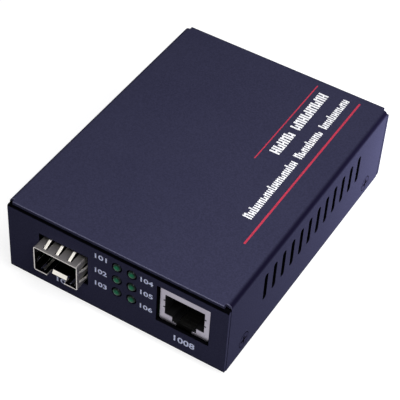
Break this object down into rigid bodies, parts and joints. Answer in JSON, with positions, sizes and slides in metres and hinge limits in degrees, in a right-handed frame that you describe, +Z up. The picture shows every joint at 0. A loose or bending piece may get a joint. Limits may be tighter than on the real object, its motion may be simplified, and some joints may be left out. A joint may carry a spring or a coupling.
{
  "type": "fibre media converter",
  "caption": "Small folded steel desktop box with a bay for a pluggable fibre module, a network cable jack and status lights in front.",
  "frame": {"origin": "middle of the box round the whole part, level with the undersides of its feet", "axes": "+X to the right seen from the front, -Y out of the front panel, +Z up"},
  "size_m": [0.071, 0.098, 0.0286],
  "materials": {
    "case_paint": "fine-grained semi-gloss powder coat",
    "screw_black": "black oxide",
    "foot_rubber": "matt",
    "bright_steel": "zinc plated",
    "cage_tin": "tin plated sheet",
    "shield_nickel": "nickel plated sheet",
    "moulded_black": "fine texture",
    "light_green": "tinted clear epoxy",
    "board_green": "solder mask",
    "contact_gold": "gold flash",
    "lead_tin": "tinned wire",
    "plain_aluminium": "extruded",
    "chip_black": "moulded epoxy",
    "core_grey": "ferrite compound"
  },
  "bodies": {
    "root": {"chassis_base": "case_paint", "top_cover": "case_paint", "cover_screws": "screw_black", "rubber_feet": "foot_rubber", "board_standoffs": "bright_steel", "circuit_board": "board_green", "board_screws": "bright_steel", "sfp_cage": "cage_tin", "sfp_socket": "moulded_black", "sfp_contacts": "contact_gold", "rj45_shield": "shield_nickel", "rj45_housing": "moulded_black", "rj45_contacts": "contact_gold", "status_light_1": "light_green", "status_light_2": "light_green", "status_light_3": "light_green", "status_light_4": "light_green", "status_light_5": "light_green", "status_light_6": "light_green", "light_holder_left": "moulded_black", "light_holder_right": "moulded_black", "light_leads": "lead_tin", "inlet_housing": "moulded_black", "inlet_pin": "bright_steel", "inlet_spring": "bright_steel", "converter_chip": "chip_black", "heat_sink": "plain_aluminium", "magnetics_module": "chip_black", "memory_chip": "chip_black", "crystal_can": "bright_steel", "bulk_capacitors": "plain_aluminium", "power_inductor": "core_grey", "voltage_regulator": "chip_black"}
  },
  "joints": []
}
